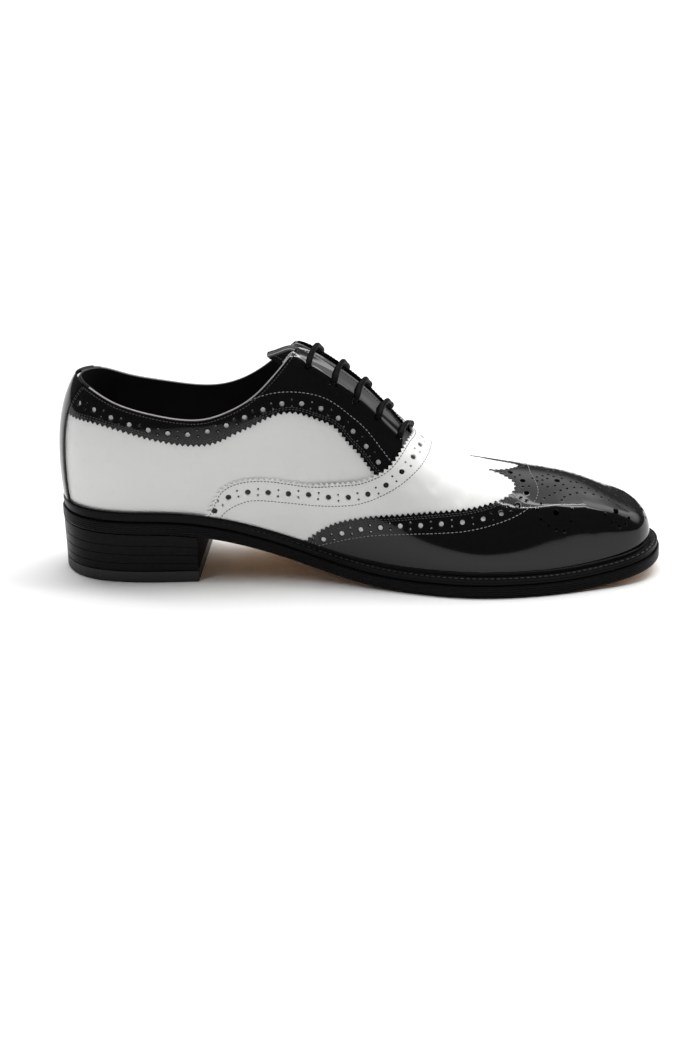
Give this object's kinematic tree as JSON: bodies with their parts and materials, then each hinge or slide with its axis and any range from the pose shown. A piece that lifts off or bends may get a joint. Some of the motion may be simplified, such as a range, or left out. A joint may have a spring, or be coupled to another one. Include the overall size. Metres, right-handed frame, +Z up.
{
  "type": "dress shoe",
  "caption": "Two-tone lace-up dress shoe with a wing tip, punched overlays, closed lacing, a welted leather sole and a stacked heel.",
  "frame": {"origin": "centre of the bounding box at the floor that the shoe stands on", "axes": "+X from heel to toe, +Y to the lateral (outer) side of this left shoe, +Z up"},
  "size_m": [0.3126, 0.1042, 0.1206],
  "materials": {
    "white_leather": "smooth calf, soft sheen",
    "patent_leather": "black patent, mirror gloss",
    "sole_leather": "tan sole leather, waxed",
    "edge_black": "black edge dressing, satin",
    "lining_leather": "black lining leather, matt",
    "lift_rubber": "black heel rubber, matt",
    "lace_cord": "black waxed round cord"
  },
  "bodies": {
    "root": {"outsole": "sole_leather", "welt": "edge_black", "heel_block": "edge_black", "top_lift": "lift_rubber", "upper": "white_leather", "insole": "lining_leather", "tongue": "patent_leather", "toe_cap": "patent_leather", "vamp_band": "white_leather", "facing_medial": "patent_leather", "facing_lateral": "patent_leather", "backstrap": "patent_leather", "lace_bar_1": "lace_cord", "lace_bar_2": "lace_cord", "lace_bar_3": "lace_cord", "lace_bar_4": "lace_cord", "lace_bar_5": "lace_cord"}
  },
  "joints": []
}
